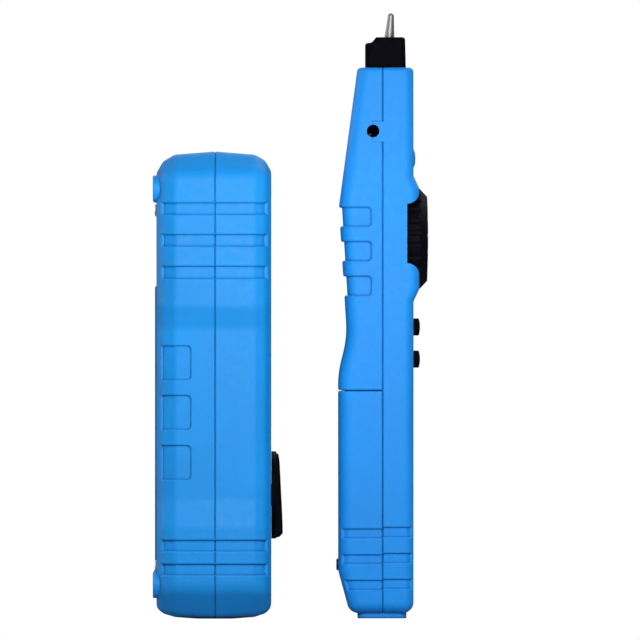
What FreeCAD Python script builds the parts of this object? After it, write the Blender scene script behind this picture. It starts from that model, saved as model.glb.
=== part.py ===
"""Cable tracer set: a tone transmitter and its probe receiver, standing side by side.

Frame: millimetres, +Z up, both units stand on z = 0.  The control faces look along +X,
the backs along -X, widths run along Y.  Each unit is drawn about its own parting plane
(x = 0) and then moved to its place with TX_X or RX_X.
"""
import FreeCAD, Part
import math
import os
from FreeCAD import Vector as V

os.makedirs("parts", exist_ok=True)

# ------------------------------------------------------------------ driving dimensions
TX_X = -27.16            # transmitter parting plane
RX_X = 33.11             # receiver parting plane

# transmitter case
TX_FRONT = 20.10         # parting plane to control face
TX_BACK = 21.10          # parting plane to back face
TX_TOP = 168.0           # height at the parting line
TX_SINK = 0.50           # bottom crown trimmed flat so that it stands
TX_HW = 38.0             # half width at head and base
TX_WAIST = 35.5          # half width at the grip
TX_Z_WAIST = (33.0, 42.8, 104.4, 112.2)   # base end, waist start, waist end, head start
TX_CUT_TOP = (9.4, 160.2)   # top corner facets: run along y, height where they start
TX_CUT_LOW = (8.6, 10.8)    # bottom corner facets
TX_EDGE = {1: 5.8, -1: 6.6}   # how far the rounded front edge and back edge reach
TX_BULGE = 0.366         # the two facets of those edges meet this part of the reach away from both faces
TX_EDGE_LOW = 3.2        # the same facets rise only this far at the bottom
TX_SOFT = (4.0, 4.0, 3.4)     # rounding where side and facet, the two facets, and facet and face meet
TX_DRAFT_Y = 0.9         # mould draft over one half, sides
TX_DRAFT_Z = 1.6         # mould draft over one half, ends
TX_WALL = 2.2
SEAM_V = 0.42            # chamfer on each side of a parting line
TX_GROOVES = ((145.4, 149.4), (134.0, 138.0), (122.4, 126.6), (24.4, 28.2), (15.8, 19.6))
TX_GROOVE_END = 33.6     # grooves run out where the edge facets fall below this half width
TX_GROOVE_D = 0.95
TX_PADS = ((85.9, 98.1), (68.1, 80.3), (50.1, 62.3))   # square grip recesses, rear shell
TX_PAD_X = (-21.0, -8.7)
TX_PAD_END = 30.9
TX_PAD_D = 0.75
TX_FOOT_R = 4.8
TX_FOOT_X = -22.40
TX_FOOT_POS = ((28.3, 154.6), (28.3, 12.2))
TX_KNOB_Z = 44.35
TX_KNOB_R = 15.75
TX_SCREWS = ((25.0, 146.9), (25.0, 18.6))

# receiver case
RX_FRONT = 11.10
RX_BOTTOM = 1.90         # case bottom; a raised pad below it reaches z = 0
RX_TOP = 198.3
RX_WALL = 2.0
RX_RB = 4.8              # rounding of the back edges
RX_RFR = 3.4             # rounding of the front edges
RX_JACK = (-3.46, 175.4) # x, z of the earphone jack
RX_KNOB_Z = 136.66
RX_KNOB_R = 18.05
RX_SLOT = (127.8, 149.3)
RX_SLOT_X = 8.80
RX_SLOT_R = 4.4
RX_COLLAR = (22.6, 18.1, 2.1)
RX_GRIPS = ((141.2, 147.9), (128.8, 135.6), (116.3, 123.1))
RX_GRIP_X = -4.2
RX_GRIP_D = 1.1
RX_GROOVES = ((29.4, 32.8), (20.1, 23.4), (10.8, 14.1))
RX_DOOR_GROOVES = ((29.0, 32.2), (19.8, 22.9), (10.4, 13.7))   # the door's run a little lower
RX_GROOVE_END = 20.1
RX_GROOVE_D = 0.75
RX_DOOR_Z = 82.0
RX_BUTTONS = (104.9, 93.3)
RX_BUTTON_R = 3.1
RX_BUTTON_OUT = 2.4
RX_BUTTON_TRAVEL = 0.8
RX_SCREWS = ((13.5, 160.5), (13.5, 90.0))

BIG = 200.0
nodes = {}


# ------------------------------------------------------------------ helpers
def box(x0, x1, y0, y1, z0, z1):
    return Part.makeBox(x1 - x0, y1 - y0, z1 - z0, V(x0, y0, z0))


def cyl(axis, r, p, length):
    d = {"x": V(1, 0, 0), "y": V(0, 1, 0), "z": V(0, 0, 1)}[axis]
    if length < 0:
        d, length = d * -1, -length
    return Part.makeCylinder(r, length, V(*p), d)


def cone(axis, r1, r2, p, length):
    d = {"x": V(1, 0, 0), "y": V(0, 1, 0), "z": V(0, 0, 1)}[axis]
    return Part.makeCone(r1, r2, length, V(*p), d)


def path(pts, to3d):
    """Closed wire through (u, v, r): straight runs with tangent arcs of radius r at the corners."""
    n = len(pts)
    corner = []
    for i in range(n):
        p0, p1, p2 = pts[i - 1], pts[i], pts[(i + 1) % n]
        ax, ay = p0[0] - p1[0], p0[1] - p1[1]
        bx, by = p2[0] - p1[0], p2[1] - p1[1]
        la, lb = math.hypot(ax, ay), math.hypot(bx, by)
        ax, ay, bx, by = ax / la, ay / la, bx / lb, by / lb
        r = p1[2]
        ang = math.acos(max(-1.0, min(1.0, ax * bx + ay * by)))
        if r <= 1e-6 or math.pi - ang < 1e-4:
            corner.append(((p1[0], p1[1]), (p1[0], p1[1]), None))
            continue
        d = r / math.tan(ang / 2)
        hx, hy = ax + bx, ay + by
        hl = math.hypot(hx, hy)
        hx, hy = hx / hl, hy / hl
        c = r / math.sin(ang / 2)
        corner.append((
            (p1[0] + ax * d, p1[1] + ay * d),
            (p1[0] + bx * d, p1[1] + by * d),
            (p1[0] + hx * (c - r), p1[1] + hy * (c - r)),
        ))
    edges = []
    for i in range(n):
        t1, t2, mid = corner[i]
        if mid is not None:
            edges.append(Part.Arc(V(*to3d(*t1)), V(*to3d(*mid)), V(*to3d(*t2))).toShape())
        nxt = corner[(i + 1) % n][0]
        if math.hypot(nxt[0] - t2[0], nxt[1] - t2[1]) > 1e-6:
            edges.append(Part.LineSegment(V(*to3d(*t2)), V(*to3d(*nxt))).toShape())
    return Part.Wire(edges)


def offset(pts, d):
    """The same corner list moved inwards by d (points run anticlockwise).

    A list gives each edge its own distance, edge i starting at point i."""
    n = len(pts)
    ds = list(d) if isinstance(d, (list, tuple)) else [d] * n
    if max(abs(v) for v in ds) < 1e-9:
        return list(pts)
    out = []
    for i in range(n):
        p0, p1, p2 = pts[i - 1], pts[i], pts[(i + 1) % n]
        e1, e2 = ds[i - 1], ds[i]
        d1 = (p1[0] - p0[0], p1[1] - p0[1])
        d2 = (p2[0] - p1[0], p2[1] - p1[1])
        l1, l2 = math.hypot(*d1), math.hypot(*d2)
        d1, d2 = (d1[0] / l1, d1[1] / l1), (d2[0] / l2, d2[1] / l2)
        n1, n2 = (-d1[1], d1[0]), (-d2[1], d2[0])
        cross = d1[0] * d2[1] - d1[1] * d2[0]
        if abs(cross) < 1e-6:
            q = (p1[0] + n1[0] * e1, p1[1] + n1[1] * e1)
        else:
            a = (p1[0] + n1[0] * e1, p1[1] + n1[1] * e1)
            b = (p1[0] + n2[0] * e2, p1[1] + n2[1] * e2)
            t = ((b[0] - a[0]) * d2[1] - (b[1] - a[1]) * d2[0]) / cross
            q = (a[0] + d1[0] * t, a[1] + d1[1] * t)
        r = p1[2]
        if r > 0:
            m = (e1 + e2) / 2
            r = max(r - m, 2.2 if m > 2.0 else 0.8) if cross > 0 else r + m
        out.append((q[0], q[1], r))
    return out


def prism(wire, vec):
    return Part.Face(wire).extrude(V(*vec))


def plate_x(pts, x0, x1):
    """Prism of a (y, z, r) outline between two x planes."""
    return prism(path(pts, lambda y, z: (x0, y, z)), (x1 - x0, 0, 0))


def plate_y(pts, y0, y1):
    return prism(path(pts, lambda x, z: (x, y0, z)), (0, y1 - y0, 0))


def plate_z(pts, z0, z1):
    return prism(path(pts, lambda x, y: (x, y, z0)), (0, 0, z1 - z0))


def rect(u0, u1, v0, v1, r):
    return [(u0, v0, r), (u1, v0, r), (u1, v1, r), (u0, v1, r)]


def fuse(first, *more):
    s = first
    for m in more:
        s = s.fuse(m)
    return s.removeSplitter()


def cut(first, *tools):
    s = first
    for t in tools:
        s = s.cut(t)
    return s


def edges_at(shape, axis, value, tol=1e-4):
    out = []
    for e in shape.Edges:
        b = e.BoundBox
        lo, hi = {"x": (b.XMin, b.XMax), "y": (b.YMin, b.YMax), "z": (b.ZMin, b.ZMax)}[axis]
        if abs(lo - value) < tol and abs(hi - value) < tol:
            out.append(e)
    return out


def round_edges(shape, r, edges, least=0.25):
    """Fillet, with a smaller radius where the full one does not fit."""
    if not edges:
        print("  no edges to round", r)
        return shape
    full = r
    while r >= least:
        try:
            s = shape.makeFillet(r, edges)
            if s.isValid() and s.Volume > 0 and len(s.Solids) == len(shape.Solids):
                if r < full:
                    print("  rounded with", round(r, 2), "in place of", round(full, 2))
                return s.Solids[0] if len(s.Solids) == 1 else s
        except Exception:
            pass
        r *= 0.85
    print("  edges left sharp", round(full, 2))
    return shape


def bevel_edges(shape, d, edges):
    try:
        s = shape.makeChamfer(d, edges)
        if s.isValid() and len(s.Solids) == len(shape.Solids):
            return s.Solids[0] if len(s.Solids) == 1 else s
    except Exception:
        pass
    print("  edges left unbevelled")
    return shape


def mouth_edges(body, outer, bands):
    """Edges where grooves within the given z bands break through the outer surface."""
    skin = outer.Shells[0]
    out = []
    for e in body.Edges:
        b = e.BoundBox
        if max(abs(b.XMin), abs(b.XMax)) < SEAM_V + 1e-3:
            continue
        for z0, z1 in bands:
            if b.ZMin > z0 - 1e-3 and b.ZMax < z1 + 1e-3:
                f, l = e.FirstParameter, e.LastParameter
                if all(skin.distToShape(Part.Vertex(e.valueAt(f + (l - f) * k)))[0] < 2e-3 for k in (0.25, 0.6)):
                    out.append(e)
                break
    return out


def keep(name, shape, where):
    """Store a node in the set's frame."""
    solids = shape.Solids
    assert solids, name
    s = solids[0] if len(solids) == 1 else Part.makeCompound(solids)
    s = s.copy()
    s.translate(V(where, 0, 0))
    bad = [x for x in s.Solids if not x.isValid() or x.Volume <= 0]
    print(f"{name:36s} solids {len(s.Solids):2d} faces {len(s.Faces):4d} vol {s.Volume:10.1f} {'BAD' if bad else ''}")
    nodes[name] = s


# ------------------------------------------------------------------ transmitter case
def tx_outline(d, dy, dz, inset=0.0, inset_low=0.0):
    """Front outline with its drafts, moved in by d, then by the insets of the edge facets."""
    zb0, zb1, zb2, zb3 = TX_Z_WAIST
    hw, wa = TX_HW - dy, TX_WAIST - dy
    zlo, zhi = -TX_SINK + dz, TX_TOP - dz
    ty, tz = TX_CUT_TOP
    by, bz = TX_CUT_LOW
    right = [(hw - by, zlo, 6.0), (hw, bz, 8.0), (hw, zb0, 7.0), (wa, zb1, 7.0), (wa, zb2, 7.0), (hw, zb3, 7.0),
             (hw, tz, 8.0), (hw - ty, zhi, 8.0)]
    left = [(-y, z, r) for y, z, r in reversed(right)]
    pts = offset(right + left, d)
    if inset:
        low = inset_low
        pts = offset(pts, [low * 1.15] + [inset] * 13 + [low * 1.15, low])
    return pts


_tx = {}


def tx_half(side, d, seam=0.0):
    """Solid half of the case, every surface moved in by d, with an optional chamfer at the parting plane."""
    if (side, d, seam) in _tx:
        return _tx[(side, d, seam)]
    full = TX_FRONT if side > 0 else TX_BACK
    depth = full - d
    cut_in = TX_EDGE[side] - 0.586 * d
    low = TX_EDGE_LOW - 0.2 * d
    k = (depth - cut_in) / full
    w0 = path(tx_outline(d, 0, 0), lambda y, z: (0, y, z))
    w1 = path(tx_outline(d, TX_DRAFT_Y * k, TX_DRAFT_Z * k), lambda y, z: (side * (depth - cut_in), y, z))
    mid = TX_BULGE * cut_in
    w2 = path(tx_outline(d, TX_DRAFT_Y * k, TX_DRAFT_Z * k, mid, TX_BULGE * low), lambda y, z: (side * (depth - mid), y, z))
    w3 = path(tx_outline(d, TX_DRAFT_Y * k, TX_DRAFT_Z * k, cut_in, low), lambda y, z: (side * depth, y, z))
    s = Part.makeLoft([w0, w1, w2, w3], True, True)
    s = s.Solids[0]
    if s.Volume < 0:
        s.reverse()
    for r, x in zip(TX_SOFT, (depth - cut_in, depth - mid, depth)):
        s = round_edges(s, max(r - d, 0.8), edges_at(s, "x", side * x))
    if seam:
        s = bevel_edges(s, seam, edges_at(s, "x", 0.0))
    _tx[(side, d, seam)] = s
    return s


def tx_skin(side):
    """Outer half with its grooves, grip recesses, parting-line bevel and flat foot."""
    body = tx_half(side, 0, SEAM_V)
    floor = tx_half(side, TX_GROOVE_D, SEAM_V)
    x0, x1 = (0, 30) if side > 0 else (-30, 0)
    for z0, z1 in TX_GROOVES:
        for y0, y1 in ((TX_GROOVE_END, 60), (-60, -TX_GROOVE_END)):
            body = body.cut(box(x0, x1, y0, y1, z0, z1).cut(floor))
    outer = tx_half(side, 0, SEAM_V)
    for band in TX_GROOVES:
        body = round_edges(body, 0.70, mouth_edges(body, outer, [band]))
    if side < 0:
        floor = tx_half(side, TX_PAD_D)
        for z0, z1 in TX_PADS:
            for y0, y1 in ((TX_PAD_END, 60), (-60, -TX_PAD_END)):
                tool = box(TX_PAD_X[0] - 6, TX_PAD_X[1], y0, y1, z0, z1)
                tool = tool.makeFillet(1.5, [e for e in tool.Edges if e.BoundBox.YLength > 1 and e.BoundBox.XMin > TX_PAD_X[1] - 1e-3])
                body = body.cut(tool.cut(floor))
        for band in TX_PADS:
            body = round_edges(body, 0.50, mouth_edges(body, outer, [band]))
        for y, z in TX_FOOT_POS:
            for s in (-1, 1):
                foot = cyl("x", TX_FOOT_R, (TX_FOOT_X, s * y, z), 8)
                foot = round_edges(foot, 0.45, edges_at(foot, "x", TX_FOOT_X))
                body = body.fuse(foot)
    body = body.cut(box(-BIG, BIG, -BIG, BIG, -BIG, 0))
    return body


# connector places at the top end
RJ45_Y, RJ45_W, RJ45_X0, RJ45_X1 = -11.5, 16.0, -5.4, 8.15
RJ11_Y, RJ11_W = 11.5, 13.2
RJ_TOP, RJ_LEN = 166.6, 17.6
PCB_X0, PCB_X1 = 8.2, 9.8
LEDS = [(-21.0 + 5.25 * i, 132.0) for i in range(9)]
OVER = 0.5               # depth of the overlay's recess
OVERLAY = [(-27.0, 13.0, 6), (27.0, 13.0, 6), (27.0, 154.0, 6), (-27.0, 154.0, 6)]
TX_DOOR = (-20.0, 20.0, 20.6, 119.6)
TX_DOOR_OUT = 0.60       # the door stands proud of the back by this much
TX_DOOR_SCREW_Z = 24.2
BAT_W, BAT_T, BAT_H = 26.5, 17.5, 46.0
TX_BAT = (-18.55, 31.0)  # x of the back face, z of the lower end


def tx_sockets_cut(x0, x1):
    return [
        box(x0, x1, RJ45_Y - RJ45_W / 2 - 0.15, RJ45_Y + RJ45_W / 2 + 0.15, 150, 175),
        box(x0, x1, RJ11_Y - RJ11_W / 2 - 0.15, RJ11_Y + RJ11_W / 2 + 0.15, 150, 175),
    ]


def transmitter():
    # front shell
    skin = tx_skin(1)
    hollow = tx_half(1, TX_WALL)
    hollow = hollow.cut(box(-BIG, BIG, -BIG, BIG, -BIG, TX_WALL))
    shell = skin.cut(hollow)
    inner = TX_FRONT - TX_WALL
    for y, z in TX_SCREWS:
        for s in (-1, 1):
            shell = shell.fuse(cyl("x", 3.3, (0, s * y, z), inner + 0.5))
    posts = [(s * 19.5, z) for s in (-1, 1) for z in (72.0, 112.0)]
    for y, z in posts:
        shell = shell.fuse(cyl("x", 2.6, (PCB_X1, y, z), inner - PCB_X1 + 0.5))
    shell = cut(shell, *tx_sockets_cut(-1, 8.3))
    recess = plate_x(OVERLAY, TX_FRONT - OVER, TX_FRONT + 5)
    shell = shell.cut(recess)
    shell = shell.cut(cyl("x", 4.3, (5, 0, TX_KNOB_Z), 30))
    for y, z in LEDS:
        shell = shell.cut(cyl("x", 1.6, (10, y, z), 20))
    for y, z in TX_SCREWS:
        for s in (-1, 1):
            shell = shell.cut(cyl("x", 1.28, (-1, s * y, z), 13))
    for y, z in posts:
        shell = shell.cut(cyl("x", 1.03, (PCB_X1 - 1, y, z), 7))
    keep("transmitter_front_shell", shell.removeSplitter(), TX_X)

    # rear shell
    skin = tx_skin(-1)
    hollow = tx_half(-1, TX_WALL)
    hollow = hollow.cut(box(-BIG, BIG, -BIG, BIG, -BIG, TX_WALL))
    shell = skin.cut(hollow)
    back_in = -(TX_BACK - TX_WALL)
    for y, z in TX_SCREWS:
        for s in (-1, 1):
            shell = shell.fuse(cyl("x", 4.2, (back_in - 0.6, s * y, z), -back_in + 0.6))
    # battery well
    bx, bz = TX_BAT
    wy = BAT_W / 2 + 0.5
    zlo, zhi = bz - 0.6, bz + BAT_H + 8.2
    well = box(back_in - 0.6, 0.4, -wy - 1.3, wy + 1.3, zlo - 1.3, zhi + 1.3).cut(
        box(-BIG, -0.9, -wy, wy, zlo, zhi))
    shell = shell.fuse(well)
    shell = shell.fuse(cyl("x", 3.4, (back_in - 0.6, 0, TX_DOOR_SCREW_Z), 12))
    shell = shell.fuse(box(back_in - 0.6, back_in + 1.3, -22.0, 22.0, zhi + 0.5, TX_DOOR[3] + 2.0))
    y0, y1, z0, z1 = TX_DOOR
    seat = plate_x(rect(y0 - 0.18, y1 + 0.18, z0 - 0.18, z1 + 0.18, 3.0), -TX_BACK - 5, -TX_BACK + 1.72)
    shell = shell.cut(seat)
    shell = shell.cut(plate_x(rect(-wy, wy, zlo, zhi, 0.8), -TX_BACK - 5, -1.0))
    shell = cut(shell, *tx_sockets_cut(-5.55, 1))
    shell = shell.cut(cyl("x", 1.45, (-30, 0, TX_DOOR_SCREW_Z), 20))
    for y, z in TX_SCREWS:
        for s in (-1, 1):
            shell = shell.cut(cyl("x", 2.6, (-30, s * y, z), 30 - TX_BACK + 0.72))
            shell = shell.cut(cyl("x", 1.45, (-30, s * y, z), 40))
    keep("transmitter_rear_shell", shell.removeSplitter(), TX_X)

    # front overlay, sunk in its recess
    over = plate_x(offset(OVERLAY, 0.12), TX_FRONT - OVER + 0.02, TX_FRONT - 0.06)
    over = over.cut(cyl("x", 4.3, (5, 0, TX_KNOB_Z), 30))
    for y, z in LEDS:
        over = over.cut(cyl("x", 1.6, (10, y, z), 20))
    keep("transmitter_front_overlay", over, TX_X)

    lenses = []
    for y, z in LEDS:
        s = cyl("x", 1.5, (PCB_X1 + 0.02, y, z), TX_FRONT - 0.12 - PCB_X1)
        s = round_edges(s, 0.5, edges_at(s, "x", TX_FRONT - 0.10))
        lenses.append(s.fuse(cyl("x", 1.95, (PCB_X1 + 0.02, y, z), 1.0)))
    keep("transmitter_indicator_leds", Part.makeCompound([x.Solids[0] for x in lenses]), TX_X)

    # circuit board with its notches and holes
    board = plate_x([(-23.8, 9.0, 1.5), (23.8, 9.0, 1.5), (23.8, 163.0, 1.5), (-23.8, 163.0, 1.5)], PCB_X0, PCB_X1)
    for y, z in posts:
        board = board.cut(cyl("x", 1.1, (0, y, z), 20))
    for y, z in TX_SCREWS:
        for s in (-1, 1):
            board = board.cut(cyl("x", 3.7, (0, s * y, z), 20))
    keep("transmitter_circuit_board", board, TX_X)

    screws = []
    for y, z in posts:
        head = cyl("x", 1.9, (PCB_X0 - 1.3, y, z), 1.28)
        head = round_edges(head, 0.5, edges_at(head, "x", PCB_X0 - 1.3))
        s = head.fuse(cyl("x", 1.0, (PCB_X0 - 0.5, y, z), 6.2))
        screws.append(cross_slot(s.removeSplitter(), PCB_X0 - 1.3, y, z, 1.1, 0.35, 0.6))
    keep("transmitter_board_screws", Part.makeCompound([s.Solids[0] for s in screws]), TX_X)

    chips = [
        box(PCB_X0 - 2.0, PCB_X0 - 0.02, -6.5, 6.5, 96, 104),
        box(PCB_X0 - 1.6, PCB_X0 - 0.02, -15, -9, 118, 126),
        box(PCB_X0 - 1.6, PCB_X0 - 0.02, 6, 12, 118, 128),
        cyl("x", 3.1, (PCB_X0 - 7.0, 16.0, 92.0), 6.98),
        cyl("x", 2.5, (PCB_X0 - 7.5, -16.5, 94.0), 7.48),
    ]
    keep("transmitter_board_components", Part.makeCompound(chips), TX_X)
    bz_ = cyl("x", 6.0, (PCB_X0 - 7.0, 0, 136.0), 6.98).cut(cyl("x", 1.0, (PCB_X0 - 8, 0, 136.0), 2.5))
    keep("transmitter_buzzer", bz_, TX_X)

    # modular sockets: mouth up, latch slot to the rear, contacts on the board side
    for tag, yc, w, mouth, n in (("rj45", RJ45_Y, RJ45_W, 11.9, 8), ("rj11", RJ11_Y, RJ11_W, 9.7, 4)):
        z0 = RJ_TOP - RJ_LEN
        body = box(RJ45_X0, RJ45_X1, yc - w / 2, yc + w / 2, z0, RJ_TOP)
        xm0, xm1 = -1.6, 5.4
        body = body.cut(box(xm0, xm1, yc - mouth / 2, yc + mouth / 2, z0 + 3.0, RJ_TOP + 5))
        body = body.cut(box(xm0 - 1.6, xm0 + 1, yc - 3.1, yc + 3.1, z0 + 3.0, RJ_TOP + 5))
        body = body.cut(box(xm0 - 2.9, xm0 + 1, yc - 1.7, yc + 1.7, z0 + 3.0, RJ_TOP + 5))
        comb = 1.016 if n == 8 else 1.02
        blades = []
        for i in range(n):
            y = yc + (i - (n - 1) / 2) * comb
            body = body.cut(box(xm1 - 0.5, xm1 + 1.3, y - 0.3, y + 0.3, z0 + 3.0, RJ_TOP - 1.5))
            pts = [(xm1 + 1.15, RJ_TOP - 2.0, 0), (xm1 - 0.9, RJ_TOP - 9.5, 0.0), (xm1 - 0.9, RJ_TOP - 10.0, 0),
                   (xm1 - 0.5, RJ_TOP - 10.0, 0), (xm1 + 1.15, RJ_TOP - 3.6, 0)]
            blades.append(plate_y(list(reversed(pts)), y - 0.2, y + 0.2))
        body = bevel_edges(body, 0.4, [e for e in edges_at(body, "z", RJ_TOP)
                                       if (e.BoundBox.XMin > xm0 - 3.2 and e.BoundBox.XMax < xm1 + 0.3
                                           and e.BoundBox.YMin > yc - mouth / 2 - 0.1 and e.BoundBox.YMax < yc + mouth / 2 + 0.1)])
        keep(f"transmitter_{tag}_socket", body.removeSplitter(), TX_X)
        keep(f"transmitter_{tag}_contacts", Part.makeCompound(blades), TX_X)

    # selector: switch body on the board, shaft and knob turn together
    sw = cyl("x", 11.5, (PCB_X1 + 0.02, 0, TX_KNOB_Z), 4.0)
    sw = round_edges(sw, 0.6, edges_at(sw, "x", PCB_X1 + 4.02))
    sw = sw.cut(cyl("x", 3.3, (0, 0, TX_KNOB_Z), 40))
    keep("transmitter_switch_body", sw, TX_X)
    x_shaft = 26.0 - 3.4
    shaft = cyl("x", 3.05, (PCB_X1 + 0.1, 0, TX_KNOB_Z), x_shaft - PCB_X1 - 0.1)
    shaft = shaft.cut(box(17.5, 30, -5, 5, TX_KNOB_Z + 2.0, TX_KNOB_Z + 8))
    keep("transmitter_switch_shaft", shaft, TX_X)
    keep("transmitter_selector_knob", tx_knob(), TX_X)

    # battery
    nine_volt("transmitter", bx, bz, 0.0, TX_X)

    # battery door and its screw
    y0, y1, z0, z1 = TX_DOOR
    x_out = -TX_BACK - TX_DOOR_OUT
    door = plate_x(rect(y0, y1, z0, z1, 2.9), x_out, -TX_BACK + 1.6)
    door = round_edges(door, 0.55, edges_at(door, "x", x_out))
    door = door.fuse(box(-TX_BACK + 1.0, -TX_BACK + 2.4, -wy + 0.4, wy - 0.4, zlo + 0.4, zhi - 0.4))
    for i in range(4):
        z = 101.0 + 3.2 * i
        tool = plate_x(rect(-9, 9, z, z + 1.4, 0.69), x_out - 1, x_out + 0.5)
        door = door.cut(tool)
    door = cut(door, cyl("x", 2.9, (x_out - 1, 0, TX_DOOR_SCREW_Z), 2.0),
               cyl("x", 1.4, (x_out - 1, 0, TX_DOOR_SCREW_Z), 8))
    keep("transmitter_battery_door", door.removeSplitter(), TX_X)
    keep("transmitter_battery_door_screw",
         pan_screw(x_out + 0.1, 0, TX_DOOR_SCREW_Z, 2.6, 0.88, 1.2, 8.0), TX_X)

    screws = []
    for y, z in TX_SCREWS:
        for s in (-1, 1):
            screws.append(pan_screw(-TX_BACK - 0.62, s * y, z, 2.35, 1.32, 1.25, 28.0).Solids[0])
    keep("transmitter_case_screws", Part.makeCompound(screws), TX_X)


def cross_slot(shape, x, y, z, half, wide, deep):
    """Cross recess sunk from the -X side."""
    a = box(x - 0.1, x + deep, y - half, y + half, z - wide / 2, z + wide / 2)
    b = box(x - 0.1, x + deep, y - wide / 2, y + wide / 2, z - half, z + half)
    return shape.cut(a.fuse(b))


def pan_screw(x, y, z, head_r, head_h, shank_r, length):
    """Pan-head screw, head to -X at x, shank along +X."""
    head = cyl("x", head_r, (x, y, z), head_h)
    head = round_edges(head, head_h * 0.55, edges_at(head, "x", x))
    s = head.fuse(cyl("x", shank_r, (x + head_h - 0.2, y, z), length)).removeSplitter()
    return cross_slot(s, x, y, z, head_r * 0.58, head_r * 0.22, head_h * 0.6)


def tx_knob():
    """Round skirt with a raised bar whose top rises from the pointer end to the other."""
    x0 = TX_FRONT + 0.10
    zc, r = TX_KNOB_Z, TX_KNOB_R
    skirt = cyl("x", r, (x0, 0, zc), 1.9)
    skirt = round_edges(skirt, 0.7, edges_at(skirt, "x", x0 + 1.9))
    prof = [(x0, zc - r + 0.05, 0), (x0, zc + r - 0.05, 0), (x0 + 2.55, zc + r - 1.05, 0.55), (x0 + 2.95, zc + r - 4.0, 6),
            (x0 + 3.92, zc - r + 8.5, 30), (x0 + 4.12, zc - r + 1.9, 1.1), (x0 + 2.9, zc - r + 0.62, 0.9)]
    bar = plate_y(list(reversed(prof)), -4.3, 4.3)
    sides = [e for e in bar.Edges if e.BoundBox.YLength < 1e-6 and e.BoundBox.XMin > x0 + 0.5
             and e.BoundBox.ZLength > 6]
    bar = round_edges(bar, 1.1, sides)
    knob = skirt.fuse(bar).removeSplitter()
    hub = cyl("x", 3.95, (15.2, 0, zc), x0 - 15.2 + 0.5)
    knob = knob.fuse(hub).removeSplitter()
    bore = cyl("x", 3.06, (10, 0, zc), 22.62 - 10).cut(box(17.5, 30, -5, 5, zc + 2.01, zc + 8))
    knob = knob.cut(bore)
    return knob


def nine_volt(unit, x, z, y, where):
    """Block battery with its back at x, snap studs up, and the clip that takes them."""
    body = box(x, x + BAT_T, y - BAT_W / 2, y + BAT_W / 2, z, z + BAT_H)
    body = round_edges(body, 1.8, [e for e in body.Edges if e.BoundBox.ZLength > 10])
    body = round_edges(body, 0.6, edges_at(body, "z", z) + edges_at(body, "z", z + BAT_H))
    keep(f"{unit}_battery", body, where)
    xc, zt = x + BAT_T / 2, z + BAT_H
    male = cyl("z", 2.8, (xc, y - 6.35, zt), 2.5)
    male = round_edges(male, 0.5, edges_at(male, "z", zt + 2.5))
    female = cyl("z", 4.1, (xc, y + 6.35, zt), 2.5).cut(cyl("z", 2.9, (xc, y + 6.35, zt + 0.6), 5))
    keep(f"{unit}_battery_studs", Part.makeCompound([male, female]), where)
    clip = plate_z(rect(xc - 5.6, xc + 5.6, y - 12.2, y + 12.2, 2.5), zt + 2.55, zt + 5.4)
    clip = round_edges(clip, 0.5, edges_at(clip, "z", zt + 5.4))
    clip = clip.fuse(cyl("z", 2.75, (xc, y + 6.35, zt + 0.75), 2.2))
    ring = cyl("z", 4.2, (xc, y - 6.35, zt + 0.7), 2.2).cut(cyl("z", 2.95, (xc, y - 6.35, zt), 3.0))
    clip = clip.fuse(ring)
    keep(f"{unit}_battery_clip", clip.removeSplitter(), where)


# ------------------------------------------------------------------ receiver case
def rx_side():
    """Side outline, x and z, anticlockwise from the front lower corner."""
    return [
        (RX_FRONT, RX_BOTTOM, 0),
        (RX_FRONT, RX_TOP, 0),
        (-9.05, RX_TOP, 0),
        (-15.75, 148.2, 9),
        (-12.85, 101.3, 35),
        (-16.05, 88.2, 35),
        (-16.0, 17.1, 10),
        (-11.85, RX_BOTTOM, 0),
    ]


def rx_face():
    """Front outline, y and z."""
    right = [(21.8, RX_BOTTOM, 0), (21.8, 161.0, 60), (16.0, RX_TOP, 0)]
    return right + [(-y, z, r) for y, z, r in reversed(right)]


_rx = {}


def rx_body(d):
    """Whole receiver case as one solid, every surface moved in by d."""
    if d in _rx:
        return _rx[d]
    a = plate_y(offset(rx_side(), d), 40, -40)
    b = plate_x(offset(rx_face(), d), -40, 40)
    s = a.common(b).removeSplitter().Solids[0]
    zlo, zhi = RX_BOTTOM + d, RX_TOP - d
    back = [e for e in s.Edges if e.BoundBox.ZLength > 0.3 and abs(e.CenterOfMass.y) > 8 and e.CenterOfMass.x < 0]
    s = round_edges(s, RX_RB - d, back)
    front = [e for e in s.Edges if e.BoundBox.ZLength > 0.3 and abs(e.CenterOfMass.y) > 8 and e.BoundBox.XMin > RX_FRONT - d - 0.6]
    s = round_edges(s, max(RX_RFR - d, 0.5), front)
    s = round_edges(s, max(1.6 - d, 0.3), edges_at(s, "z", zhi))
    s = round_edges(s, max(3.9 - d, 0.5), edges_at(s, "z", zlo))
    _rx[d] = s
    return s


def rx_half(side, d, seam=0.0):
    s = rx_body(d).common(box(0, BIG, -BIG, BIG, -BIG, 2 * BIG) if side > 0 else box(-BIG, 0, -BIG, BIG, -BIG, 2 * BIG))
    s = s.Solids[0]
    if seam:
        s = bevel_edges(s, seam, edges_at(s, "x", 0.0))
    return s


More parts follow.
